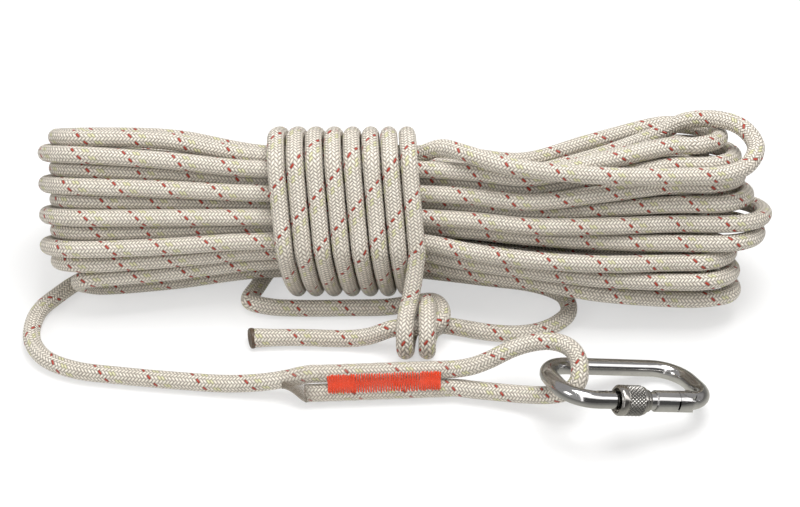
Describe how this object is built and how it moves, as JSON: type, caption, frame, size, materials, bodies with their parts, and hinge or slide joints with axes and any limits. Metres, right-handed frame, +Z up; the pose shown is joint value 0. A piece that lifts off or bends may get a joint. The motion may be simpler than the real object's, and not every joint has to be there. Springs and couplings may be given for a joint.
{
  "type": "safety rope lanyard",
  "caption": "Braided safety rope made up in a tied hank, with a stitched eye under a clear sleeve, a steel oval screw-gate karabiner, and a short heat-sealed tail.",
  "frame": {"origin": "on the floor, in the middle of the whole outline seen from above", "axes": "+Z up from the floor the lanyard lies on, +X along the hank towards the karabiner's end, -Y towards the side where the splice and the karabiner lie"},
  "size_m": [0.4806, 0.2236, 0.1192],
  "materials": {
    "sheath": "matt braided polyamide, off-white with a red and a yellow-green tracer",
    "stitching": "orange bonded thread in close bar tacks",
    "clear_sleeve": "clear heat-shrunk tube, glossy",
    "frame_steel": "tumbled and plated steel, satin",
    "sleeve_steel": "turned steel with a knurled band",
    "pin_steel": "bright drawn steel",
    "spring_steel": "dark spring wire"
  },
  "bodies": {
    "rope": {"rope_hank": "sheath", "rope_wrap": "sheath", "rope_knot": "sheath", "rope_link": "sheath", "rope_tail": "sheath", "rope_lead": "sheath", "rope_eye": "sheath", "splice_stitching_front": "stitching", "splice_stitching_back": "stitching", "splice_sleeve": "clear_sleeve"},
    "karabiner": {"karabiner_body": "frame_steel", "gate_rivet": "pin_steel"},
    "gate": {"karabiner_gate": "frame_steel", "latch_pin": "pin_steel", "gate_spring": "spring_steel", "gate_plunger": "pin_steel"},
    "screw_sleeve": {"screw_sleeve": "sleeve_steel"}
  },
  "joints": [
    {"name": "karabiner_swivel", "type": "hinge", "parent": "rope", "child": "karabiner", "pos_m": [0.10863, -0.08035, 0.02956], "axis": [-0.1653, -0.3932, -0.9045], "range_deg": [0, 24]},
    {"name": "gate_swing", "type": "hinge", "parent": "karabiner", "child": "gate", "pos_m": [0.1723, -0.09144, 0.02275], "axis": [-0.1653, -0.3932, -0.9045], "range_deg": [0, 15], "stiffness_Nm_per_rad": 0.3, "springref_deg": -34.38},
    {"name": "sleeve_slide", "type": "slide", "parent": "gate", "child": "screw_sleeve", "axis": [-0.9369, -0.2239, 0.2686], "range_m": [-0.0037, 0.008]}
  ]
}
